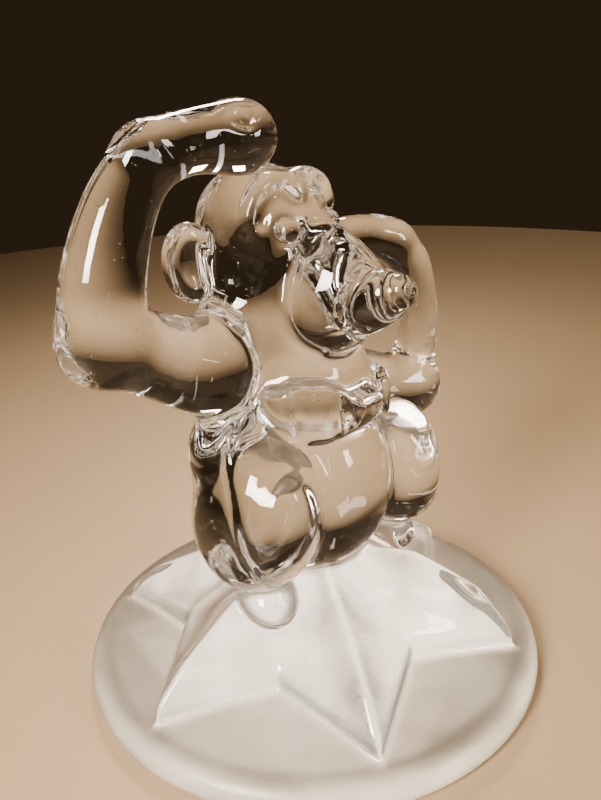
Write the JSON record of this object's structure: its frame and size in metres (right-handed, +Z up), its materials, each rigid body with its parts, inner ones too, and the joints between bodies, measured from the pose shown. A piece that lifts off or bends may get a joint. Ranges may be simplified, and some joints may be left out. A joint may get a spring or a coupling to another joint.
{
  "type": "glass animal figurine",
  "caption": "Clear crystal chimpanzee in a bow tie, squatting on a raised star with one hand on its head, on a frosted round base.",
  "frame": {"origin": "centre of the round base's flat resting face", "axes": "+Z up through the figure's head, -Y the way the chimpanzee faces, +X towards its left hand"},
  "size_m": [0.076, 0.076, 0.091],
  "materials": {
    "clear_crystal": "fire-polished clear crystal",
    "frosted_crystal": "acid-etched satin crystal"
  },
  "bodies": {
    "root": {"frosted_base": "frosted_crystal", "star_plinth": "clear_crystal", "belly": "clear_crystal", "chest": "clear_crystal", "neck": "clear_crystal", "skull": "clear_crystal", "muzzle": "clear_crystal", "nose_bridge": "clear_crystal", "brow": "clear_crystal", "pursed_lips": "clear_crystal", "lip_button": "clear_crystal", "right_eye": "clear_crystal", "left_eye": "clear_crystal", "right_ear": "clear_crystal", "left_ear": "clear_crystal", "bow_tie_knot": "clear_crystal", "bow_tie_right_wing": "clear_crystal", "bow_tie_left_wing": "clear_crystal", "right_haunch": "clear_crystal", "left_haunch": "clear_crystal", "right_knee": "clear_crystal", "left_knee": "clear_crystal", "right_foot": "clear_crystal", "left_foot": "clear_crystal", "right_upper_arm": "clear_crystal", "right_forearm": "clear_crystal", "right_hand": "clear_crystal", "left_upper_arm": "clear_crystal", "left_forearm": "clear_crystal", "left_hand": "clear_crystal"}
  },
  "joints": []
}
